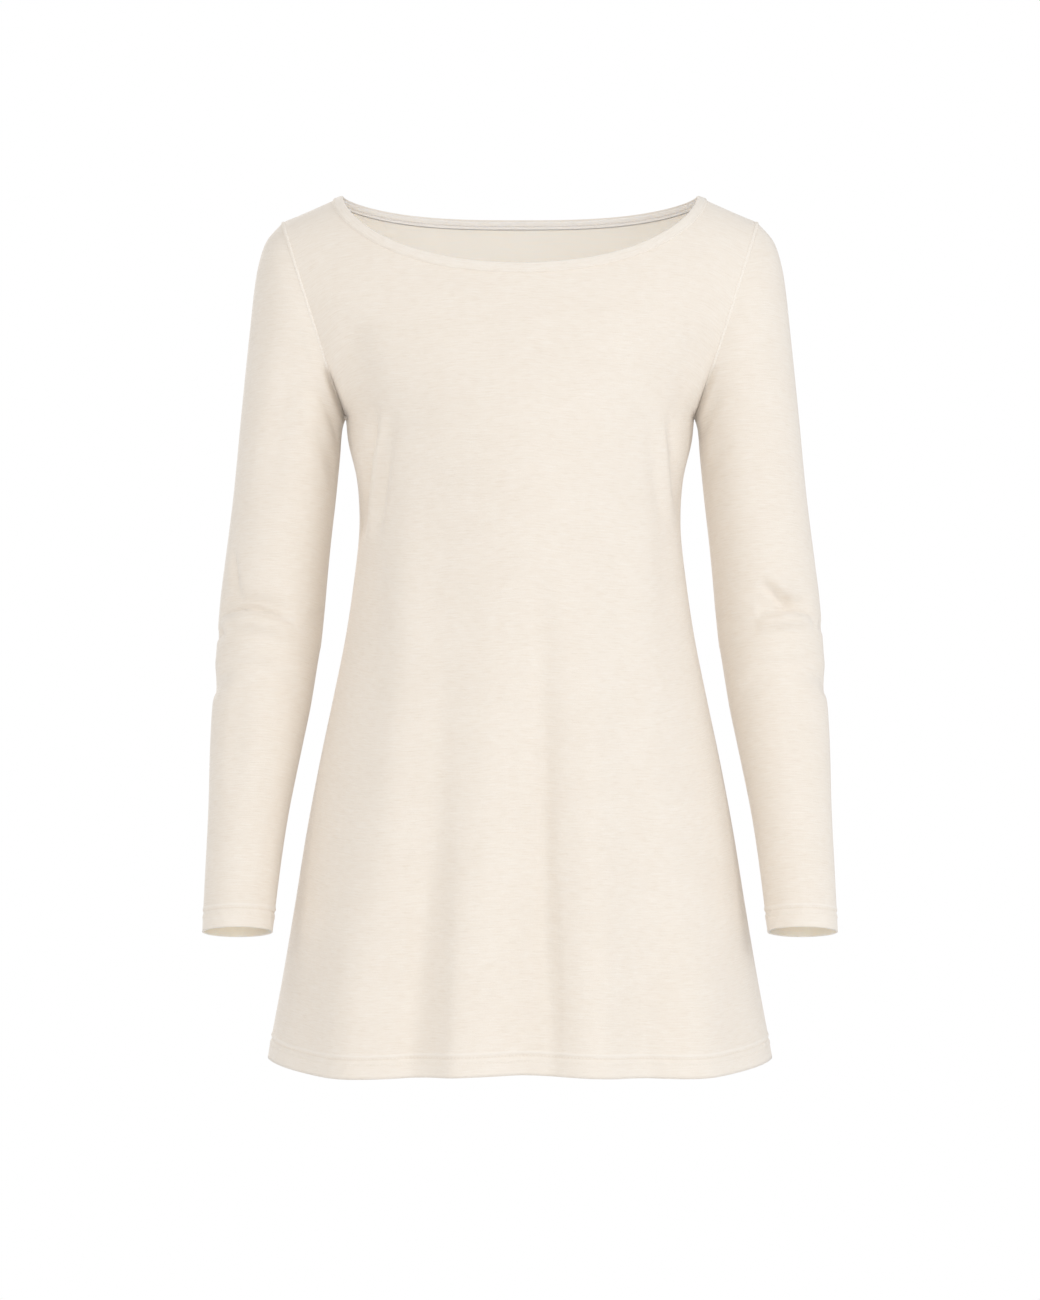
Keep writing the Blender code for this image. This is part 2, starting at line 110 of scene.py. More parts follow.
# %% Walk a skin's open edges
def open_loops(skin):
    """Each open edge of a skin, as its points in order."""
    links = {}
    for edge in skin.edges:
        if edge.is_boundary:
            one, other = edge.verts
            links.setdefault(one, []).append(other)
            links.setdefault(other, []).append(one)
    loops = []
    while links:
        loop = [next(iter(links))]
        while True:
            after = [point for point in links[loop[-1]] if point not in loop[-2:-1]][0]
            if after is loop[0]:
                break
            loop.append(after)
        for point in loop:
            links.pop(point)
        loops.append(loop)
    return loops


def next_row(skin, row, first, used, closed=False):
    """The row of points on the far side of a strip of triangles, begun at first."""
    far = [first]
    for here, after in zip(row, row[1:] + row[:1] if closed else row[1:]):
        face = next(face for face in skin.edges.get((here, after)).link_faces if face not in used)
        tip = next(point for point in face.verts if point not in (here, after))
        used.add(face)
        leans_back = tip is far[-1]
        diagonal = (far[-1], after) if leans_back else (here, tip)
        face = next(face for face in skin.edges.get(diagonal).link_faces if face not in used)
        used.add(face)
        far.append(next(point for point in face.verts if point not in diagonal) if leans_back else tip)
    return far[:-1] if closed else far


def as_array(rows):
    return np.array([[tuple(point.co) for point in row] for row in rows])


# %% Read the front and the back
def panel_rows(node):
    """Rows of a front or back, hem first, each from the wearer's right to left."""
    skin = outer_skin(node)
    loop = open_loops(skin)[0]
    corner = min(range(len(loop)), key=lambda k: loop[k].co.x + loop[k].co.z)
    loop = loop[corner:] + loop[:corner]
    across = max(range(len(loop)), key=lambda k: loop[k].co.x - loop[k].co.z)
    if across > len(loop) / 2:
        loop, across = loop[:1] + loop[:0:-1], len(loop) - across
    rows, used = [loop[: across + 1]], set()
    for k in range(1, (len(loop) - 2 * across) // 2 + 1):
        rows.append(next_row(skin, rows[-1], loop[-k], used))
    return as_array(rows)


front_rows, back_rows = panel_rows("front"), panel_rows("back")
print("front and back:", front_rows.shape, back_rows.shape)


# %% Read the sleeves
def sleeve_rows(node):
    """Rings of a sleeve, armhole first, each begun under the arm and running round by the front."""
    skin = outer_skin(node)
    ring = max(open_loops(skin), key=lambda loop: sum(point.co.z for point in loop))
    under = min(range(len(ring)), key=lambda k: abs(ring[k].co.x))
    ring = ring[under:] + ring[:under]
    if ring[1].co.y > ring[-1].co.y:
        ring = ring[:1] + ring[:0:-1]
    rows, used, known = [ring], set(), set(ring)
    while True:
        ahead = [edge.other_vert(ring[0]) for edge in ring[0].link_edges]
        ahead = [point for point in ahead if point not in known]
        if not ahead:
            return as_array(rows)
        first = min(ahead, key=lambda point: (point.co - ring[0].co).length)
        ring = next_row(skin, ring, first, used, closed=True)
        known.update(ring)
        rows.append(ring)


sleeve_rings = {side: sleeve_rows("sleeve_" + side) for side in ("left", "right")}
print("sleeves:", {side: rings.shape for side, rings in sleeve_rings.items()})

# %% [markdown]
# ## Fine rows of points
# The plain panels have a point every 15 mm or so. Jersey needs one every 2 or 3 mm before its creases
# look soft. A Catmull-Rom curve passes through every point it is given and bends smoothly between them,
# so it is run along the rows and then across them.


# %% Run smooth curves through rows
def curve_through(rows, at, closed=False):
    """Points on a smooth curve through rows, at places counted in rows."""
    at = np.asarray(at, float)
    cell = np.floor(at).astype(int)
    if closed:
        before, start, end, after = (rows[(cell + k) % len(rows)] for k in (-1, 0, 1, 2))
    else:
        cell = np.clip(cell, 0, len(rows) - 2)
        padded = np.concatenate([[2 * rows[0] - rows[1]], rows, [2 * rows[-1] - rows[-2]]])
        before, start, end, after = (padded[cell + k] for k in range(4))
    t = (at - cell).reshape((-1,) + (1,) * (rows.ndim - 1))
    bend = (end - before) * t + (2 * before - 5 * start + 4 * end - after) * t**2
    return start + (bend + (3 * start - before - 3 * end + after) * t**3) / 2


def places(steps):
    """Fractional row numbers: each step is how many parts one interval is cut into."""
    parts = [k + np.arange(count) / count for k, count in enumerate(steps)]
    return np.concatenate(parts + [[float(len(steps))]])


def refined(rows, row_places, column_places, closed=False):
    """Rows of points made finer both ways. A closed ring ends on its first point again."""
    fine = curve_through(rows, row_places)
    return curve_through(fine.swapaxes(0, 1), column_places, closed).swapaxes(0, 1)


def unit(vectors):
    return vectors / np.linalg.norm(vectors, axis=-1, keepdims=True)


def outward(points, middle, closed=False):
    """The direction that points away from the middle of the body at each point."""
    if closed:
        wrapped = np.concatenate([points[:, -2:-1], points, points[:, 1:2]], axis=1)
        across = np.gradient(wrapped, axis=1)[:, 1:-1]
    else:
        across = np.gradient(points, axis=1)
    normal = unit(np.cross(across, np.gradient(points, axis=0)))
    return normal * np.sign(((points - middle) * normal).sum())


# %% Make the panels finer
# The lowest interval has its own cuts, closest together where the turned hem is sewn.
HEM_CUTS = np.concatenate([np.arange(4) * 0.045, 0.18 + np.arange(18) / 75, 0.42 + np.arange(15) * 0.0387])
SKIRT_PARTS, ARMHOLE_PARTS, SHOULDER_PARTS = 8, 5, 4
SIDE_ROWS, ARMHOLE_ROWS, SHOULDER_ROWS = 11, 10, 4
COLUMN_PARTS = 6
ROW_PARTS = [SKIRT_PARTS] * (SIDE_ROWS - 1)
ROW_PARTS += [ARMHOLE_PARTS] * ARMHOLE_ROWS + [SHOULDER_PARTS] * SHOULDER_ROWS
PANEL_PLACES = np.concatenate([HEM_CUTS, 1 + places(ROW_PARTS)])
UNDERARM_LINE = len(HEM_CUTS) + SKIRT_PARTS * (SIDE_ROWS - 1)
TIP_LINE = UNDERARM_LINE + ARMHOLE_PARTS * ARMHOLE_ROWS
BODY_MIDDLE = np.array((0, 0, -0.35))

column_places = np.arange(COLUMN_PARTS * (front_rows.shape[1] - 1) + 1) / COLUMN_PARTS
front_cloth = refined(front_rows, PANEL_PLACES, column_places)
back_cloth = refined(back_rows, PANEL_PLACES, column_places)
print("fine panels:", front_cloth.shape)


# %% Ease the line level with the armpits
def evened(points, line, rows=14, passes=30):
    """Points with the bend along one row eased away, except near the side edges."""
    column = np.arange(points.shape[1])
    from_side = np.minimum(column, column[::-1]) / (3 * COLUMN_PARTS)
    near = np.clip(1.5 - np.abs(np.arange(len(points)) - line) / rows, 0, 1)
    share = near[:, None, None] * np.clip(from_side, 0, 1)[None, :, None] ** 2 / 2
    points = points.copy()
    for _ in range(passes):
        middle = (points[:-2] + points[2:]) / 2
        points[1:-1] += share[1:-1] * (middle - points[1:-1])
    return points


front_cloth, back_cloth = (evened(cloth, UNDERARM_LINE) for cloth in (front_cloth, back_cloth))

# %% Make the sleeves finer
RING_PARTS, ELBOW_PARTS, CUFF_PARTS, TURN_PARTS = 6, 14, 25, 6
ELBOW_TOP, ELBOW_FOOT = -0.315, -0.395

turn_count = sleeve_rings["left"].shape[1]
ring_heights = sleeve_rings["left"][:-2, turn_count // 4, 2]
elbow = (ring_heights < ELBOW_TOP) & (ring_heights > ELBOW_FOOT)
ring_places = places([ELBOW_PARTS if bent else RING_PARTS for bent in elbow] + [CUFF_PARTS])
turn_places = np.arange(TURN_PARTS * turn_count + 1) / TURN_PARTS
sleeve_cloth = {
    side: refined(rings, ring_places, turn_places, closed=True) for side, rings in sleeve_rings.items()
}
print("fine sleeves:", sleeve_cloth["left"].shape)

# %% [markdown]
# ## Creases placed one by one
# A crease in jersey is a soft trough or ridge that fades at both ends. Each row below is one: where it
# starts and ends, how far it bows to the side, its half width, and its depth, where a depth below nought
# is a ridge. On the front and back the places are across and up, as seen from ahead. On a sleeve the
# first number is the way round from the front of the arm, towards the outside, and the second is the
# height.

# %% Work out how deep the creases are
Crease = namedtuple("Crease", "name x0 z0 x1 z1 bow half_width depth")


def crease_depth(creases, across, up):
    """How far the creases press the cloth in at each point."""
    depth = np.zeros_like(across)
    for crease in creases:
        run = np.array((crease.x1 - crease.x0, crease.z1 - crease.z0))
        length = np.hypot(*run)
        share = ((across - crease.x0) * run[0] + (up - crease.z0) * run[1]) / length**2
        share = np.clip(share, 0, 1)
        beside = ((up - crease.z0) * run[0] - (across - crease.x0) * run[1]) / length
        beside = beside - crease.bow * 4 * share * (1 - share)
        fade = np.sin(math.pi * share) ** 0.8
        depth += crease.depth * fade * np.exp(-((beside / crease.half_width) ** 2))
    return depth


# %% List the creases of the front and back
FRONT_CREASES = (
    Crease("right flank ridge", -0.0900, -0.250, -0.1180, -0.660, 0.003, 0.0210, -0.0062),
    Crease("right waist ridge", -0.1040, -0.205, -0.0980, -0.400, 0.001, 0.0200, -0.0046),
    Crease("right valley, upper part", -0.0620, -0.390, -0.0740, -0.690, 0.000, 0.0120, 0.0030),
    Crease("middle ridge, upper part", -0.0240, -0.330, -0.0300, -0.640, 0.000, 0.0170, -0.0018),
    Crease("middle valley, upper part", 0.0180, -0.315, 0.0170, -0.670, 0.001, 0.0110, 0.0062),
    Crease("middle valley, lower part", 0.0220, -0.560, 0.0290, -0.790, 0.000, 0.0095, 0.0040),
    Crease("left ridge, upper part", 0.0560, -0.310, 0.0640, -0.640, 0.000, 0.0190, -0.0034),
    Crease("left waist ridge", 0.1060, -0.205, 0.1010, -0.380, -0.001, 0.0190, -0.0030),
    Crease("left flank ridge", 0.0980, -0.250, 0.1280, -0.640, -0.003, 0.0200, -0.0046),
    Crease("hollow by the right armpit", -0.140, -0.105, -0.128, -0.225, -0.003, 0.0150, 0.0048),
    Crease("hollow by the left armpit", 0.142, -0.120, 0.132, -0.220, 0.003, 0.0120, 0.0036),
    Crease("dip outside the right fold", -0.1245, -0.182, -0.1365, -0.300, 0.001, 0.0050, 0.0080),
    Crease("fold below the right armpit", -0.1165, -0.186, -0.1285, -0.300, 0.001, 0.0048, -0.0042),
    Crease("dip inside the right fold", -0.1085, -0.190, -0.1205, -0.300, 0.001, 0.0052, 0.0052),
    Crease("dip outside the left fold", 0.1270, -0.186, 0.1360, -0.285, -0.001, 0.0055, 0.0040),
    Crease("fold below the left armpit", 0.1190, -0.188, 0.1280, -0.288, -0.001, 0.0058, -0.0030),
    Crease("dip inside the left fold", 0.1105, -0.200, 0.1180, -0.285, -0.001, 0.0062, 0.0028),
    Crease("drag to the right bust", -0.120, -0.215, -0.070, -0.190, 0.006, 0.008, 0.0010),
    Crease("drag to the left bust", 0.122, -0.212, 0.074, -0.188, -0.006, 0.008, 0.0008),
    Crease("right waist hollow", -0.118, -0.290, -0.122, -0.400, 0.003, 0.010, 0.0014),
    Crease("left waist hollow", 0.119, -0.285, 0.124, -0.380, -0.003, 0.010, 0.0012),
)
BACK_CREASES = (
    Crease("hollow by the left armpit", 0.140, -0.110, 0.130, -0.230, 0.003, 0.016, 0.0040),
    Crease("hollow by the right armpit", -0.141, -0.115, -0.131, -0.225, -0.003, 0.015, 0.0036),
    Crease("small of the back, upper", -0.050, -0.262, 0.062, -0.270, -0.006, 0.009, 0.0018),
    Crease("small of the back, lower", -0.070, -0.300, 0.040, -0.292, -0.005, 0.008, 0.0014),
    Crease("left blade", 0.060, -0.110, 0.072, -0.215, 0.004, 0.011, -0.0014),
    Crease("right blade", -0.058, -0.105, -0.070, -0.205, -0.004, 0.012, -0.0014),
    Crease("left flank ridge", 0.0920, -0.255, 0.1240, -0.650, 0.003, 0.0205, -0.0050),
    Crease("left valley", 0.0520, -0.350, 0.0640, -0.700, 0.001, 0.0125, 0.0044),
    Crease("middle ridge", 0.0180, -0.330, 0.0220, -0.660, -0.001, 0.0180, -0.0030),
    Crease("right valley", -0.0260, -0.320, -0.0330, -0.680, 0.001, 0.0115, 0.0052),
    Crease("right ridge", -0.0600, -0.300, -0.0700, -0.645, 0.000, 0.0190, -0.0034),
    Crease("right flank ridge", -0.1020, -0.250, -0.1300, -0.640, -0.002, 0.0190, -0.0044),
)

# %% List the creases of the sleeves
SLEEVE_CREASES = {
    "right": (
        Crease("hollow above the elbow", 0.058, -0.3550, -0.024, -0.3620, -0.0090, 0.0070, 0.0052),
        Crease("elbow fold", 0.056, -0.3608, -0.026, -0.3690, -0.0098, 0.0023, 0.0062),
        Crease("swell under the elbow fold", 0.054, -0.3700, -0.024, -0.3775, -0.0092, 0.0075, -0.0058),
        Crease("slant above the elbow", 0.047, -0.3020, 0.028, -0.3480, 0.0020, 0.0048, 0.0050),
        Crease("notch at the outer edge", 0.080, -0.3790, 0.042, -0.3735, -0.0010, 0.0038, 0.0050),
        Crease("inner elbow tuck", -0.074, -0.3560, -0.036, -0.3620, 0.0020, 0.0050, 0.0014),
        Crease("forearm hollow", 0.016, -0.4100, 0.006, -0.5300, 0.0030, 0.0110, 0.0019),
        Crease("upper arm hollow", -0.008, -0.1000, 0.012, -0.2800, 0.0030, 0.0160, 0.0046),
        Crease("armpit drag", -0.062, -0.2150, -0.012, -0.1650, 0.0040, 0.0070, 0.0033),
        Crease("second armpit drag", -0.060, -0.2450, -0.015, -0.2000, 0.0030, 0.0070, 0.0022),
        Crease("back elbow fold", 0.115, -0.3580, 0.180, -0.3640, 0.0060, 0.0060, 0.0042),
        Crease("back elbow swell", 0.118, -0.3720, 0.178, -0.3760, 0.0050, 0.0080, -0.0025),
        Crease("wrist ripple", -0.020, -0.5700, 0.030, -0.5740, 0.0020, 0.0050, 0.0010),
    ),
    "left": (
        Crease("hollow above the elbow", 0.042, -0.3545, -0.014, -0.3565, -0.0050, 0.0060, 0.0056),
        Crease("elbow fold", 0.040, -0.3592, -0.012, -0.3612, -0.0052, 0.0022, 0.0060),
        Crease("swell under the elbow fold", 0.040, -0.3668, -0.014, -0.3698, -0.0050, 0.0070, -0.0064),
        Crease("dart above the elbow", -0.008, -0.3310, 0.020, -0.3560, 0.0010, 0.0048, 0.0058),
        Crease("pillow above the dart", 0.000, -0.3270, 0.026, -0.3490, 0.0010, 0.0060, -0.0034),
        Crease("notch at the outer edge", 0.080, -0.3720, 0.052, -0.3690, -0.0010, 0.0040, 0.0031),
        Crease("inner elbow tuck", -0.072, -0.3600, -0.034, -0.3660, 0.0020, 0.0050, 0.0014),
        Crease("forearm hollow", 0.010, -0.4150, 0.014, -0.5200, -0.0020, 0.0120, 0.0018),
        Crease("upper arm hollow", 0.004, -0.1800, 0.010, -0.3000, -0.0030, 0.0140, 0.0019),
        Crease("armpit drag", -0.062, -0.2120, -0.014, -0.1680, 0.0040, 0.0070, 0.0030),
        Crease("second armpit drag", -0.060, -0.2500, -0.018, -0.2100, 0.0030, 0.0070, 0.0019),
        Crease("back elbow fold", 0.112, -0.3600, 0.182, -0.3620, 0.0050, 0.0060, 0.0039),
        Crease("back elbow swell", 0.116, -0.3740, 0.176, -0.3750, 0.0050, 0.0080, -0.0025),
        Crease("wrist ripple", -0.024, -0.5640, 0.026, -0.5700, 0.0020, 0.0050, 0.0010),
    ),
}


# %% [markdown]
# ## Places in the flat cloth
# The knit has to run level round the body and up the sleeves, as it does in cloth that was cut on the
# straight and then sewn. So how far across a point lies is measured without its height, and how far up
# a panel it lies is measured without its place across.


# %% Measure along rows and columns
def lengths(points, axis, counted="xyz"):
    """How far along its row or column each point lies, by the directions that are counted."""
    step = np.diff(points, axis=axis)[..., ["xyz".index(letter) for letter in counted]]
    step = np.linalg.norm(step, axis=2)
    start = np.zeros_like(step[:1] if axis == 0 else step[:, :1])
    return np.concatenate([start, step], axis=axis).cumsum(axis=axis)


# %% [markdown]
# ## Turned hems
# The body hem and both cuffs are turned up by 20 mm and sewn from the outside. The seam draws the cloth
# in to a shallow groove with a soft roll above it, and the doubled edge ripples a little on the slant,
# because the two layers feed through the machine unevenly.

# %% Shape a turned hem
TURN_UP = 0.020
RIDGE, GROOVE, LOWER_RIDGE = 0.0194, 0.0163, 0.0132
# Each band of the seam: its height above the edge, its depth and its half width.
SEAM_BANDS = ((GROOVE, 0.00070, 0.0013), (RIDGE, -0.00078, 0.0015), (LOWER_RIDGE, -0.00035, 0.0017))
RIPPLE_DEPTH, RIPPLE_HALF_WIDTH, RIPPLE_SLANT = 0.00034, 0.009, 0.6
SEAM_WAVE, SEAM_SWAY, RIPPLE_WAVE, RIPPLE_SWAY, RIPPLE_SWELL = 0.047, 0.113, 0.0145, 0.083, 0.131


def wave(along, length, shift=0.0):
    """A sine wave of one length, moved along by shift."""
    return np.sin(along * 2 * math.pi / length + shift)


def turned_edge(height, along):
    """How far a turned hem presses in. height is above the edge, along runs round it."""
    uneven = 0.75 + 0.25 * wave(along, SEAM_WAVE, 2 * wave(along, SEAM_SWAY))
    seam = sum(depth * np.exp(-(((height - at) / half) ** 2)) for at, depth, half in SEAM_BANDS)
    ripple = wave(along - RIPPLE_SLANT * height, RIPPLE_WAVE, 1.7 * wave(along, RIPPLE_SWAY))
    strength = RIPPLE_DEPTH * np.exp(-(((height - 0.6 * TURN_UP) / RIPPLE_HALF_WIDTH) ** 2))
    return seam * uneven + ripple * strength * (0.6 + 0.4 * wave(along, RIPPLE_SWELL))


# %% [markdown]
# ## The tuck at each armpit
# Where an arm hangs straight down, the front of the armhole seam folds in on itself just above the
# armpit, and the fold shows as a short dark slit, deeper on the wearer's right. The body and the sleeve
# share the seam, so one rule presses in the points of both, by how near they lie to the slit as seen
# from ahead.

# %% Press in the armpits
SLIT_TOP, SLIT_FOOT = (0.1645, -0.1500), (0.1500, -0.1900)
SLIT_HALF_WIDTH, RIGHT_DEPTH, LEFT_DEPTH = 0.0028, 0.0170, 0.0085
FRONT_FADE = 0.014


def slit_press(points):
    """How far each point is pressed back by the slit near it."""
    across, ahead, up = np.abs(points[..., 0]), -points[..., 1], points[..., 2]
    run = np.array(SLIT_FOOT) - SLIT_TOP
    length = np.hypot(*run)
    share = ((across - SLIT_TOP[0]) * run[0] + (up - SLIT_TOP[1]) * run[1]) / length**2
    beside = ((across - SLIT_TOP[0]) * run[1] - (up - SLIT_TOP[1]) * run[0]) / length
    past = np.maximum(np.maximum(share - 1, -share), 0) * length
    fade = np.clip(share, 0, 1) ** 0.5 * np.clip(ahead / FRONT_FADE, 0, 1)
    depth = np.where(points[..., 0] < 0, RIGHT_DEPTH, LEFT_DEPTH)
    return depth * fade * np.exp(-(beside**2 + past**2) / SLIT_HALF_WIDTH**2)


def tucked(points):
    """Points with the two slits pressed in from the front."""
    return points + slit_press(points)[..., None] * np.array((0, 1, 0))


# %% Crease the front and back
SIDE_FADE = 0.014


def creased_panel(points, creases):
    """A panel with its creases and its turned hem, and each point's place in the flat cloth."""
    along, above = lengths(points, 1, "xy"), lengths(points, 0, "yz")
    from_side = np.minimum(along, along[:, -1:] - along)
    fade = np.clip(from_side / SIDE_FADE, 0, 1) ** 2
    depth = crease_depth(creases, points[..., 0], points[..., 2]) * fade
    depth += turned_edge(above, along)
    creased = tucked(points - outward(points, BODY_MIDDLE) * depth[..., None])
    return creased, along - along[:, -1:] / 2, above


front_cloth, front_along, front_above = creased_panel(front_cloth, FRONT_CREASES)
back_cloth, back_along, back_above = creased_panel(back_cloth, BACK_CREASES)
print(f"hem: {front_along[0, -1] * 2 + back_along[0, -1] * 2:.3f} m round")


# %% Crease the sleeves
ARMHOLE_FADE = 0.02
CUFF_ROUND = 0.209


def creased_sleeve(points, creases):
    """A sleeve with its creases and its turned cuff, and each point's place in the flat cloth."""
    round_it = lengths(points, 1, "xy")
    girth = round_it[:, -1:]
    above = lengths(points[::-1], 0)[::-1]
    from_front = round_it - girth / 4
    depth = crease_depth(creases, from_front, points[..., 2])
    depth *= np.clip(lengths(points, 0) / ARMHOLE_FADE, 0, 1)
    depth += turned_edge(above, round_it * CUFF_ROUND / girth)
    middle = points[:, :-1].mean(axis=1, keepdims=True)
    creased = tucked(points - outward(points, middle, closed=True) * depth[..., None])
    creased[:, -1] = creased[:, 0]
    return creased, round_it, above


sleeves = {side: creased_sleeve(sleeve_cloth[side], SLEEVE_CREASES[side]) for side in sleeve_cloth}
print({side: f"cuff {sleeves[side][1][-1, -1]:.3f} m round" for side in sleeves})

# %% [markdown]
# ## Cloth
# A panel starts as a flat grid with a square for each few stitches of the knit. Its points move to their
# places on the body, and its UV map keeps their places in the flat cloth, in metres, so the knit follows
# every curve. Solidify then gives the panels two sides. Jersey is under a millimetre thick, and twice
# that where it is turned up.

# %% Turn rows of points into cloth
CLOTH = 0.0009


def new_piece(name, form):
    """An object from a bmesh, riding on the one body of the top."""
    mesh = bpy.data.meshes.new(name)
    form.to_mesh(mesh)
    form.free()
    mesh.shade_smooth()
    piece = bpy.data.objects.new(name, mesh)
    bpy.context.scene.collection.objects.link(piece)
    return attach(piece, "root")


def sheet_of_points(points, along, above, middle):
    """A grid whose points lie at points and whose UV map holds their places in the flat cloth."""
    rows, columns = points.shape[:2]
    form = bmesh.new()
    bmesh.ops.create_grid(form, x_segments=columns - 1, y_segments=rows - 1, size=0.5)
    flat = form.loops.layers.uv.new("flat cloth")
    cell = {
        vertex: (round((vertex.co.y + 0.5) * (rows - 1)), round((vertex.co.x + 0.5) * (columns - 1)))
        for vertex in form.verts
    }
    for face in form.faces:
        for loop in face.loops:
            place = cell[loop.vert]
            loop[flat].uv = (along[place], above[place])
    for vertex, place in cell.items():
        vertex.co = points[place]
    form.normal_update()
    facing = sum((face.calc_center_median() - Vector(middle)).dot(face.normal) for face in form.faces)
    if facing < 0:
        bmesh.ops.reverse_faces(form, faces=form.faces)
    bmesh.ops.remove_doubles(form, verts=form.verts, dist=1e-6)
    return form


def make_cloth(name, points, along, above, middle):
    """A piece of cloth with two sides, twice as thick in its turned hem."""
    piece = new_piece(name, sheet_of_points(points, along, above, middle))
    group = piece.vertex_groups.new(name="turned up")
    uv = piece.data.uv_layers[0].data
    doubled = {loop.vertex_index for loop in piece.data.loops if uv[loop.index].uv.y < TURN_UP}
    group.add(sorted(doubled), 1.0, "REPLACE")
    wall = piece.modifiers.new("two sides", "SOLIDIFY")
    wall.offset = -1
    wall.thickness = 2 * CLOTH
    wall.thickness_vertex_group = 0.5
    wall.vertex_group = group.name
    wall.material_offset = 1
    return piece


# %% Make the front, the back and the sleeves
pieces = {
    "front": make_cloth("front_cloth", front_cloth, front_along, front_above, BODY_MIDDLE),
    "back": make_cloth("back_cloth", back_cloth, back_along, back_above, BODY_MIDDLE),
}
for side, (points, round_it, above) in sleeves.items():
    middle = points[len(points) // 2].mean(axis=0)
    pieces["sleeve_" + side] = make_cloth(f"sleeve_{side}_cloth", points, round_it, above, middle)
for node, piece in pieces.items():
    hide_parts(node)
print({node: len(piece.data.polygons) for node, piece in pieces.items()})

# %% [markdown]
# ## The neck binding
# The neck edge is bound with a strip of the same jersey, folded over it and sewn down through all layers.
# Its section is a flat hook: up from the cloth on the outside, over the edge, and down on the inside. The
# outer leg is slightly crowned between its fold and its stitches, and the inner leg thins out towards its
# hem. The section is closed from hem to hem through the panel, because then the light that falls on the
# outside comes through and lights the inside. It is carried round the neck from the panels' own points,
# so the binding lies on them all the way.

# %% Fold the binding over the neck edge
BAND_ROWS = SHOULDER_PARTS
STAND, CROWN, FLUSH = 0.0011, 0.00025, 0.0002
UNDERSIDE = -CLOTH - STAND
# Shares of a leg, from its hem: how soon each leg rises, where the inner one starts to, and how thin it is.
RISE, INNER_HEM, THIN = 0.16, 0.33, 0.30
FOLD_STEPS, LEG_STEPS = 10, 12
LEG_SHARE = LEG_STEPS / (2 * LEG_STEPS + FOLD_STEPS)


def neck_frames():
    """The rows of points under the binding, hem first, and the ways out of and past the cloth."""
    lines = []
    for cloth in (front_cloth, back_cloth[:, ::-1]):
        normal = outward(cloth, BODY_MIDDLE)
        lines.append([part[:, :-1] for part in (cloth[-1 - BAND_ROWS :], normal[-1 - BAND_ROWS :])])
    points, normals = (np.concatenate(pair, axis=1) for pair in zip(*lines))
    for _ in range(3):
        normals = unit(np.roll(normals, 1, axis=1) + 2 * normals + np.roll(normals, -1, axis=1))
    past = unit(points[-1] - points[0])
    past = unit(past - (past * normals[-1]).sum(axis=1, keepdims=True) * normals[-1])
    return points, normals, past


band_points, band_normals, past_edge = neck_frames()


def over_the_edge(share):
    """A line round the neck on the binding's outside: 0 is its outer hem, 1 its inner hem."""
    if LEG_SHARE <= share <= 1 - LEG_SHARE:
        angle = math.pi * (share - LEG_SHARE) / (1 - 2 * LEG_SHARE)
        radius = (STAND - UNDERSIDE) / 2
        lift = (STAND + UNDERSIDE) / 2 + radius * math.cos(angle)
        return band_points[-1] + band_normals[-1] * lift + past_edge * radius * math.sin(angle)
    outer = share < LEG_SHARE
    up = (share if outer else 1 - share) / LEG_SHARE
    at = curve_through(band_points, [BAND_ROWS * up])[0]
    normal = unit(curve_through(band_normals, [BAND_ROWS * up])[0])
    crown = STAND + CROWN * math.sin(math.pi * up)
    if outer:
        return at + normal * crown * (1 - (1 - min(up / RISE, 1)) ** 2)
    rise = min(max((up - INNER_HEM) / RISE, 0), 1) * (THIN + (1 - THIN) * up**2)
    return at - normal * (CLOTH + FLUSH + (crown - FLUSH) * rise)


section_shares = np.linspace(0, 1, 2 * LEG_STEPS + FOLD_STEPS + 1)
binding_points = np.array([over_the_edge(share) for share in section_shares])
binding_points = np.concatenate([binding_points, binding_points[:, :1]], axis=1)
binding_along, binding_up = lengths(binding_points, 1), lengths(binding_points, 0)
closed_points, closed_along, closed_up = (
    np.concatenate([rows, rows[:1]]) for rows in (binding_points, binding_along, binding_up)
)
form = sheet_of_points(closed_points, closed_along, closed_up, BODY_MIDDLE)
bmesh.ops.recalc_face_normals(form, faces=form.faces)
binding = new_piece("neck_binding_cloth", form)
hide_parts("neck_binding")
print(f"binding: {binding_along[0, -1]:.3f} m round, {binding_up[-1, 0] * 1000:.1f} mm wide unfolded")

# %% [markdown]
# ## Seams
# Seen from outside, a seam in jersey is a line where two edges roll down into each other over the neat
# allowance inside. The armhole seams stand up as a fine light ridge. A round cord is sunk along each seam:
# it closes the line from behind, and where it stands proud it makes the ridge.


# %% Sink a cord along a seam
def seam_cord(name, line, normals, radius, proud, closed=False):
    """A cord along a line of points, its top standing proud of the cloth by a little."""
    curve = bpy.data.curves.new(name, "CURVE")
    curve.dimensions = "3D"
    curve.bevel_depth = radius
    curve.bevel_resolution = 2
    curve.use_fill_caps = not closed
    spline = curve.splines.new("POLY")
    spline.points.add(len(line) - 1)
    for point, place in zip(spline.points, line - normals * np.reshape(radius - proud, (-1, 1))):
        point.co = (*place, 1)
    spline.use_cyclic_u = closed
    holder = bpy.data.objects.new(name, curve)
    mesh = bpy.data.meshes.new_from_object(holder)
    bpy.data.objects.remove(holder)
    form = bmesh.new()
    form.from_mesh(mesh)
    bmesh.ops.remove_doubles(form, verts=form.verts, dist=1e-6)
    bmesh.ops.recalc_face_normals(form, faces=form.faces)
    piece = new_piece(name, form)
    return piece


# %% Run the seams
ARMHOLE_CORD, ARMHOLE_PROUD, ARMHOLE_SINK = 0.0020, 0.0008, 0.15
SEAM_CORD, SEAM_PROUD = 0.0011, 0.0001

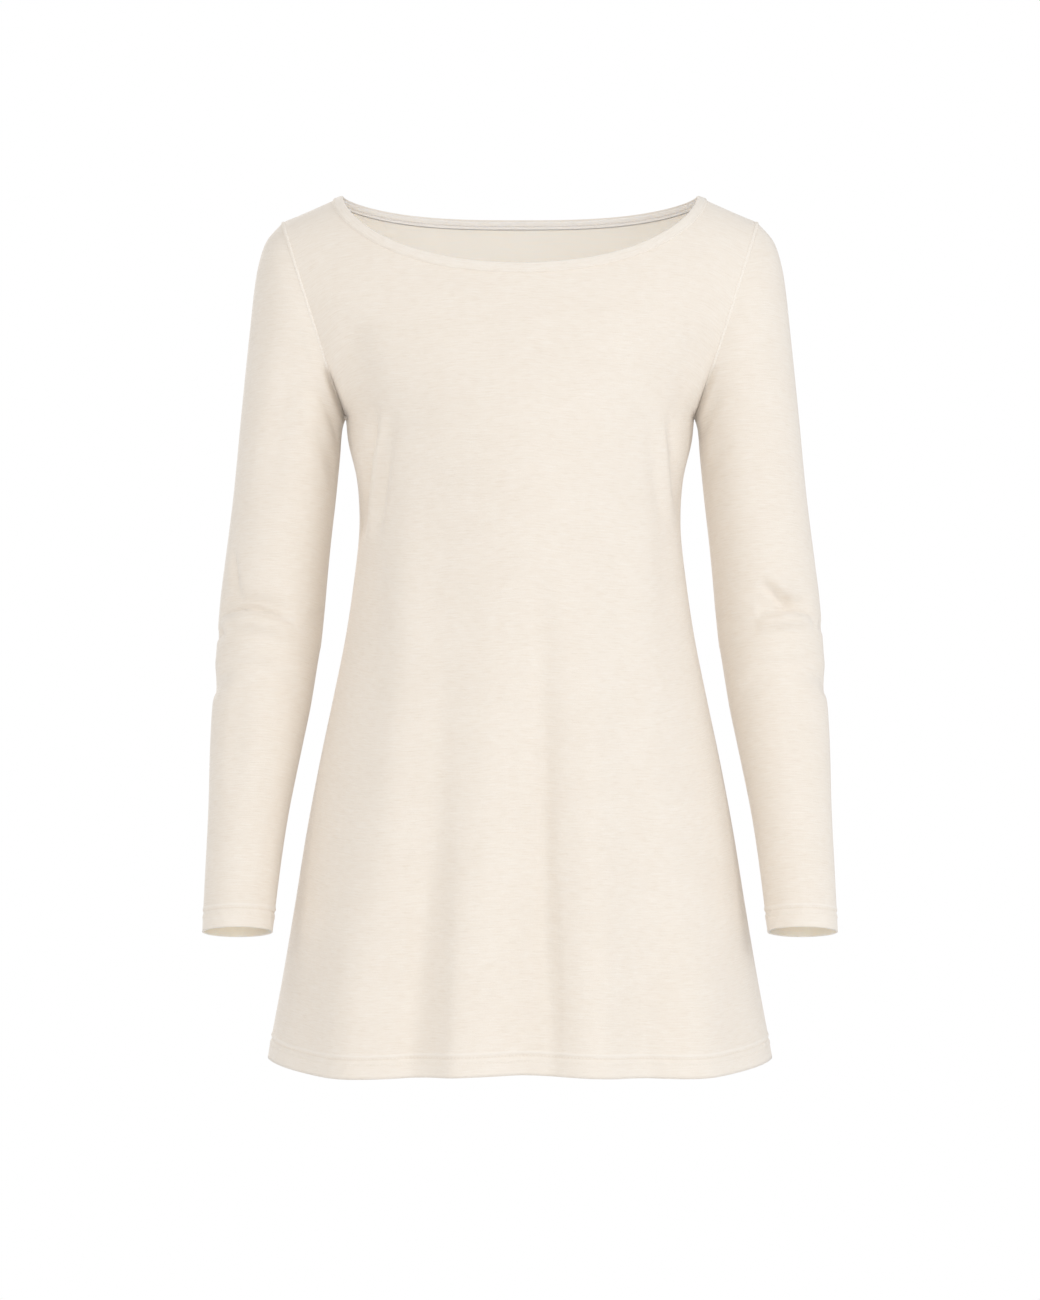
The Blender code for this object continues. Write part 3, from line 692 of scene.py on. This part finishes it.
seams = []
for side, (points, round_it, above) in sleeves.items():
    middle = points[:, :-1].mean(axis=1, keepdims=True)
    normals = outward(points, middle, closed=True)[0]
    armhole, columns = points[0, :-1], (-1 if side == "left" else 0)
    proud = ARMHOLE_PROUD - ARMHOLE_SINK * slit_press(sleeve_cloth[side][0, :-1])
    cord = seam_cord(f"armhole_seam_{side}", armhole, normals[:-1], ARMHOLE_CORD, proud, closed=True)
    seams.append(cord)
    panels = np.stack([front_cloth[:, columns], back_cloth[:, columns]])
    line = panels.mean(axis=0)
    out = unit(outward(front_cloth, BODY_MIDDLE)[:, columns] + outward(back_cloth, BODY_MIDDLE)[:, columns])
    for name, part in (("side_seam", slice(2, UNDERARM_LINE)), ("shoulder_seam", slice(TIP_LINE, -2))):
        seams.append(seam_cord(f"{name}_{side}", line[part], out[part], SEAM_CORD, SEAM_PROUD))
print([seam.name for seam in seams])

# %% [markdown]
# ## Stitches
# The hem and the cuffs are sewn with two parallel rows. The binding has one row, which shows outside and
# again inside. One stitch is a tiny ball drawn out along the seam, and hundreds of them are joined into
# one mesh. They are the cloth's own cream, so they show only as a fine broken line.

# %% Make one stitch
STITCH_PITCH = 0.0031
STITCH_LENGTH, STITCH_WIDTH, STITCH_HEIGHT = 0.0024, 0.00055, 0.00042
STITCH_LIFT = 0.0001

form = bmesh.new()
size = Matrix.Diagonal((STITCH_LENGTH / 2, STITCH_WIDTH / 2, STITCH_HEIGHT / 2, 1))
bmesh.ops.create_uvsphere(form, u_segments=6, v_segments=4, radius=1, matrix=size)
one_stitch = bpy.data.meshes.new("one stitch")
form.to_mesh(one_stitch)
form.free()
print("faces in a stitch:", len(one_stitch.polygons))


# %% Lay stitches along a line
def stitches(name, lines):
    """A stitch every few millimetres along each closed line, given with the cloth's normals."""
    form = bmesh.new()
    for line, normals in lines:
        line, normals = np.concatenate([line, line[:1]]), np.concatenate([normals, normals[:1]])
        along = np.concatenate([[0], np.cumsum(np.linalg.norm(np.diff(line, axis=0), axis=1))])
        count = round(along[-1] / STITCH_PITCH)
        for k in range(count):
            ends = (k + np.array((0.1, 0.9))) * along[-1] / count
            start, end, up = (
                Vector([np.interp(at, along, track[:, axis]) for axis in range(3)])
                for at, track in ((ends[0], line), (ends[1], line), (ends.mean(), normals))
            )
            way = (end - start).normalized()
            side = up.cross(way).normalized()
            turn = Matrix((way, side, way.cross(side))).transposed().to_4x4()
            place = Matrix.Translation((start + end) / 2 + up * STITCH_LIFT) @ turn
            one_stitch.transform(place)
            form.from_mesh(one_stitch)
            one_stitch.transform(place.inverted())
    piece = new_piece(name, form)
    return piece


# %% Sew the hem, the cuffs and the neck
SEWN_ROWS = (GROOVE, GROOVE - 0.0050)
OUTER_ROW, INNER_ROW = 0.25, 0.55


def line_above_hem(height):
    """A closed line round the body hem at a height above its edge, and the normals along it."""
    lines = []
    for cloth, above in ((front_cloth, front_above), (back_cloth[:, ::-1], back_above[:, ::-1])):
        row = float(np.interp(height, above[:, cloth.shape[1] // 2], np.arange(len(cloth))))
        normal = outward(cloth, BODY_MIDDLE)
        lines.append([curve_through(part, [row])[0][:-1] for part in (cloth, normal)])
    return [np.concatenate(pair) for pair in zip(*lines)]


def line_above_cuff(side, height):
    """The same round a cuff."""
    points, _, above = sleeves[side]
    row = float(np.interp(-height, -above[:, 0], np.arange(len(points))))
    normal = outward(points, points[:, :-1].mean(axis=1, keepdims=True), closed=True)
    return [curve_through(part, [row])[0][:-1] for part in (points, normal)]


sewing = [stitches("hem_stitches", [line_above_hem(height) for height in SEWN_ROWS])]
for side in sleeves:
    rows = [line_above_cuff(side, height) for height in SEWN_ROWS]
    sewing.append(stitches(f"cuff_stitches_{side}", rows))
neck_rows = [
    [over_the_edge(OUTER_ROW * LEG_SHARE), band_normals[1]],
    [over_the_edge(1 - INNER_ROW * LEG_SHARE), -band_normals[1]],
]
sewing.append(stitches("neck_stitches", neck_rows))
print({piece.name: len(piece.data.polygons) for piece in sewing})

# %% [markdown]
# ## Writing shader maths
# Materials are easier to read as sums than as dozens of linked nodes. The first class below wraps one
# output socket, so that an expression such as `1 - mask * 0.3` adds the Math nodes it needs by itself.
# The second makes a material and its nodes. Its glow is the share of light that goes on inside the
# cloth, and its reach is how far, which lets the light behind the top show on its inside.


# %% Wrap sockets
CLOTH_REACH, BINDING_REACH = 0.012, 0.05


class Value:
    """One socket of a material's nodes, with ordinary arithmetic."""

    def __init__(self, finish, socket):
        self.finish, self.socket = finish, socket

    def math(self, operation, *others, first=None):
        values = (self, *others) if first is None else (first, self)
        return self.finish.node("ShaderNodeMath", {"operation": operation}, dict(enumerate(values)))

    def __add__(self, other):
        return self.math("ADD", other)

    def __mul__(self, other):
        return self.math("MULTIPLY", other)

    def __sub__(self, other):
        return self.math("SUBTRACT", other)

    def __rsub__(self, other):
        return self.math("SUBTRACT", first=other)

    def sine(self):
        return self.math("SINE")

    def fraction(self):
        return self.math("FRACT")

    def size(self):
        return self.math("ABSOLUTE")

    def between(self, low, high):
        """0 at low and 1 at high, with soft ends."""
        inputs = {"Value": self, "From Min": low, "From Max": high}
        return self.finish.node("ShaderNodeMapRange", {"interpolation_type": "SMOOTHSTEP"}, inputs)


class Finish:
    """A material and its nodes."""

    def __init__(self, name, roughness, sheen, glow=0.0, reach=CLOTH_REACH):
        self.material = bpy.data.materials.new(name)
        self.material.use_nodes = True
        self.tree = self.material.node_tree
        self.shader = self.tree.nodes["Principled BSDF"]
        constants = {
            "Roughness": roughness,
            "Specular IOR Level": 0.25,
            "Sheen Weight": sheen,
            "Sheen Roughness": 0.5,
            "Subsurface Weight": glow,
            "Subsurface Radius": (1.0, 0.80, 0.62),
            "Subsurface Scale": reach,
        }
        for name, value in constants.items():
            self.shader.inputs[name].default_value = value

    def node(self, kind, settings=None, inputs=None, output=0):
        node = self.tree.nodes.new(kind)
        for name, value in (settings or {}).items():
            setattr(node, name, value)
        for name, value in (inputs or {}).items():
            if isinstance(value, Value):
                self.tree.links.new(value.socket, node.inputs[name])
            else:
                node.inputs[name].default_value = value
        return Value(self, node.outputs[output])

    def noise(self, x, y, z, detail=2.0):
        place = self.node("ShaderNodeCombineXYZ", inputs={"X": x, "Y": y, "Z": z})
        return self.node("ShaderNodeTexNoise", inputs={"Vector": place, "Scale": 1.0, "Detail": detail})

    def mix(self, share, one, other):
        """A colour between two others. A Mix node keeps its colours in sockets 6 and 7 and in output 2."""
        inputs = {0: share, 6: one, 7: other}
        return self.node("ShaderNodeMix", {"data_type": "RGBA"}, inputs, output=2)

    def flat_place(self):
        """Across and up in the flat cloth, in metres."""
        flat = self.node("ShaderNodeUVMap", {"uv_map": "flat cloth"})
        across = self.node("ShaderNodeSeparateXYZ", inputs={"Vector": flat})
        return across, Value(self, across.socket.node.outputs[1])

    def wear(self, name, value):
        self.tree.links.new(value.socket, self.shader.inputs[name])

    def wear_bump(self, strength, distance, height):
        inputs = {"Strength": strength, "Distance": distance, "Height": height}
        self.wear("Normal", self.node("ShaderNodeBump", inputs=inputs))


# %% [markdown]
# ## Slub jersey
# Slub yarn swells and thins along its length, so the knit is crossed by short level streaks, some pale
# and some dull, a finger's width long and a stitch or two high. Under them is the knit itself: columns of
# small V shapes. The knit is far finer than a dot of the picture, so it is a bump; the streaks are colour
# and bump together. The inside of the cloth shows its purl side, coloured warmer: painted warm shade for
# the shaded inside of the top. The turned hems and the binding are painted lighter, and the hem seam has
# a painted highlight on its ridge and painted shade in its groove.

# %% Choose the colours and the gauge
CREAM = (0.885, 0.814, 0.727, 1)
PALE = (0.930, 0.880, 0.812, 1)
DULL = (0.795, 0.704, 0.600, 1)
# The warmer inside colour is painted warm shade for the shaded inside of the top.
PURL_WARM_SHADE = (0.950, 0.805, 0.670, 1)
# The inside of the binding is paler: painted light for its inner leg, which lies in shade inside the neck.
BINDING_PURL_PAINTED_LIGHT = (0.970, 0.885, 0.800, 1)
WALE, COURSE = 0.00085, 0.00070
KNIT_STRENGTH, KNIT_DISTANCE = 0.35, 0.0004
# Widths of the painted bands: the doubled hem's painted light, the ridge's painted highlight and the
# groove's painted shade.
HEM_EDGE, RIDGE_HIGHLIGHT_EDGE, GROOVE_SHADE_EDGE = 0.001, 0.0016, 0.0012


# %% Mix the jersey
def level_band(v, at, edge):
    """1 on a level line and 0 from an edge's width below it to an edge's width above it."""
    return v.between(at - edge, at) * (1 - v.between(at, at + edge))


def jersey(name, seed, turned=TURN_UP, painted_light=0.0):
    """The outside of the cloth. turned is the height of its turned hem, where it has one; painted_light
    mixes it paler, which is painted light.
    """
    finish = Finish(name, roughness=0.88, sheen=0.45)
    u, v = finish.flat_place()
    pale = finish.noise(u * 62, v * 880, seed).between(0.46, 0.68)
    dull = finish.noise(u * 95, v * 820, seed + 7).between(0.48, 0.72)
    fleck = finish.noise(u * 600, v * 1500, seed + 3, detail=1.0).between(0.35, 0.70)
    cloud = finish.noise(u * 110, v * 150, seed + 5, detail=3.0).between(0.36, 0.66)
    drift = finish.noise(u * 18, v * 26, seed + 9).between(0.35, 0.65)
    colour = finish.mix(pale * 0.40 + cloud * 0.18 + painted_light, CREAM, PALE)
    colour = finish.mix(dull * (0.32 - cloud * 0.12) + fleck * 0.10 + drift * 0.10, colour, DULL)
    if turned:
        # Painted light on the turned hem: the doubled band is mixed paler, a line along the seam's ridge
        # paler still as a painted highlight, and a line along its groove darker as painted shade.
        doubled = 1 - v.between(turned - HEM_EDGE, turned + HEM_EDGE)
        colour = finish.mix(doubled * 0.22 + level_band(v, RIDGE, RIDGE_HIGHLIGHT_EDGE) * 0.45, colour, PALE)
        colour = finish.mix(level_band(v, GROOVE, GROOVE_SHADE_EDGE) * 0.32, colour, DULL)
    finish.wear("Base Color", colour)
    column = (u * (1 / WALE)).fraction() - 0.5
    legs = ((v * (1 / COURSE) + column.size() * 1.2) * (2 * math.pi)).sine()
    knit = legs * 0.35 + (0.5 - column.size()) * 1.2
    height = knit * 0.45 + pale * 0.5 - dull * 0.25 + fleck * 0.2
    finish.wear_bump(KNIT_STRENGTH, KNIT_DISTANCE, height)
    return finish.material


def purl_side(name, seed, colour, other, reach=CLOTH_REACH):
    """The inside of the cloth, in the colour it is given, crossed by level rows of small bumps; the colours
    given hold painted warm shade and painted light.
    """
    finish = Finish(name, roughness=0.92, sheen=0.20, glow=1.0, reach=reach)
    u, v = finish.flat_place()
    cloud = finish.noise(u * 40, v * 500, seed).between(0.35, 0.70)
    finish.wear("Base Color", finish.mix(cloud * 0.3, colour, other))
    rows = (v * (2 * math.pi / COURSE)).sine() * 0.5 + (u * (4 * math.pi / WALE)).sine() * 0.25
    finish.wear_bump(KNIT_STRENGTH, KNIT_DISTANCE, rows + cloud * 0.3)
    return finish.material


# %% Dress the cloth
finishes = {
    "front": jersey("front jersey", 1.0),
    "back": jersey("back jersey", 11.0),
    "sleeve_left": jersey("left sleeve jersey", 21.0),
    "sleeve_right": jersey("right sleeve jersey", 31.0),
}
inside = purl_side("inside of the jersey", 51.0, PURL_WARM_SHADE, CREAM)
for node, piece in pieces.items():
    piece.data.materials.append(finishes[node])
    piece.data.materials.append(inside)
# The outer binding is mixed paler than the body: painted light on the folded strip.
binding.data.materials.append(jersey("binding jersey", 41.0, turned=None, painted_light=0.40))
# The binding's inner leg lies in the shade inside the neck; its paler colour is painted light.
binding.data.materials.append(purl_side("inside of the binding", 61.0, BINDING_PURL_PAINTED_LIGHT, PALE, BINDING_REACH))
# The inside's material begins two steps before the fold ends.
fold_end = binding_up[LEG_STEPS + FOLD_STEPS - 2, 0]
flat = binding.data.uv_layers[0].data
for face in binding.data.polygons:
    if min(flat[k].uv.y for k in face.loop_indices) > fold_end:
        face.material_index = 1


# %% Dress the seams and the stitches
def plain_yarn(name, colour, other, scale):
    """Yarn without a UV map of its own: mottled by its place on the top."""
    finish = Finish(name, roughness=0.85, sheen=0.10)
    place = finish.node("ShaderNodeTexCoord", output="Object")
    mottle = finish.node("ShaderNodeTexNoise", inputs={"Vector": place, "Scale": scale, "Detail": 2.0})
    finish.wear("Base Color", finish.mix(mottle.between(0.35, 0.65), colour, other))
    finish.wear_bump(0.3, 0.0003, mottle)
    return finish.material


seam_finish = plain_yarn("seam jersey", PALE, CREAM, 900)
thread_finish = plain_yarn("cream thread", PALE, CREAM, 2200)
for piece in seams:
    piece.data.materials.append(seam_finish)
for piece in sewing:
    piece.data.materials.append(thread_finish)
print("materials:", len(bpy.data.materials))

# %% [markdown]
# ## Floor and light
# The picture is cut out on white, lit softly from above and to the right, so each fold is darker on its
# left. A broad key lamp does that. A weaker one beside the camera opens the front, a warm one fills from
# the left, one behind shines through the cloth into the neck, and a faint one lights the right edge. The
# white room fills the shadows. The floor is a plain pale disc under the top, below the picture's lower
# edge.

# %% Lay the floor
FLOOR_RADIUS, FLOOR_HEIGHT = 1.5, -1.25

floor_form = bmesh.new()
below = Matrix.Translation((0, 0, FLOOR_HEIGHT))
bmesh.ops.create_circle(floor_form, cap_ends=True, segments=128, radius=FLOOR_RADIUS, matrix=below)
floor_mesh = bpy.data.meshes.new("floor")
floor_form.to_mesh(floor_mesh)
floor_form.free()
floor = bpy.data.objects.new("floor", floor_mesh)
bpy.context.scene.collection.objects.link(floor)
floor_finish = Finish("pale floor", roughness=0.9, sheen=0.0)
floor_finish.shader.inputs["Base Color"].default_value = (0.9, 0.9, 0.9, 1)
floor.data.materials.append(floor_finish.material)

# %% Light the room
ROOM_LIGHT = 0.675
LAMP_SIZE = 1.4
LAMP_TARGET = Vector((0, 0, -0.38))
WHITE, WARM, SOFT_WARM = (1, 1, 1), (1.0, 0.88, 0.74), (1.0, 0.91, 0.84)

world = bpy.data.worlds.new("white room")
bpy.context.scene.world = world
world.use_nodes = True
nodes, links = world.node_tree.nodes, world.node_tree.links
seen = nodes.new("ShaderNodeLightPath")
room, shown = nodes["Background"], nodes.new("ShaderNodeBackground")
room.inputs["Strength"].default_value = ROOM_LIGHT
for background in (room, shown):
    background.inputs["Color"].default_value = (1, 1, 1, 1)
either = nodes.new("ShaderNodeMixShader")
links.new(seen.outputs["Is Camera Ray"], either.inputs[0])
links.new(room.outputs[0], either.inputs[1])
links.new(shown.outputs[0], either.inputs[2])
links.new(either.outputs[0], nodes["World Output"].inputs["Surface"])


def soft_lamp(name, place, watts, colour=WHITE):
    """A round lamp that faces the middle of the top."""
    lamp = bpy.data.lights.new(name, "AREA")
    lamp.color = colour
    lamp.shape = "DISK"
    lamp.size, lamp.energy = LAMP_SIZE, watts
    holder = bpy.data.objects.new(name, lamp)
    holder.location = place
    holder.rotation_euler = (LAMP_TARGET - Vector(place)).to_track_quat("-Z", "Y").to_euler()
    bpy.context.scene.collection.objects.link(holder)


soft_lamp("key lamp", (2.75, -2.48, 0.8), 30)
soft_lamp("front lamp", (-0.55, -3.55, 0.05), 21)
soft_lamp("left lamp", (-3.3, -2.1, 0.6), 13, WARM)
soft_lamp("back lamp", (-1.0, 3.2, 1.2), 36, SOFT_WARM)
soft_lamp("rim lamp", (4.0, -0.8, 0.2), 8)
bpy.context.scene.view_settings.view_transform = "Standard"

# %% [markdown]
# ## What each piece is cut from
# How large each piece of cloth was before it was sewn is worked out here: the width of each row laid
# flat, and the area, because none of them is a rectangle. The turned hem adds its depth once more.


def area_of(points):
    """The area of a grid of points, as two triangles for each square."""
    one = np.cross(points[1:, :-1] - points[:-1, :-1], points[:-1, 1:] - points[:-1, :-1])
    other = np.cross(points[1:, :-1] - points[1:, 1:], points[:-1, 1:] - points[1:, 1:])
    return float((np.linalg.norm(one, axis=2) + np.linalg.norm(other, axis=2)).sum() / 2)


def declare(piece, points, along, above):
    """Work out a piece's flat widths and area, measured along its rows and columns of points."""
    widths = np.ptp(along, axis=1)
    edge = 0 if above[0, 0] < above[-1, 0] else -1
    area = area_of(points) + TURN_UP * float(widths[edge])


hem_stitches, *cuff_stitches, neck_stitches = sewing
declare(pieces["front"], front_cloth, front_along, front_above)
declare(pieces["back"], back_cloth, back_along, back_above)
for (side, (points, round_it, above)), sewn in zip(sleeves.items(), cuff_stitches):
    declare(pieces["sleeve_" + side], points, round_it, above)
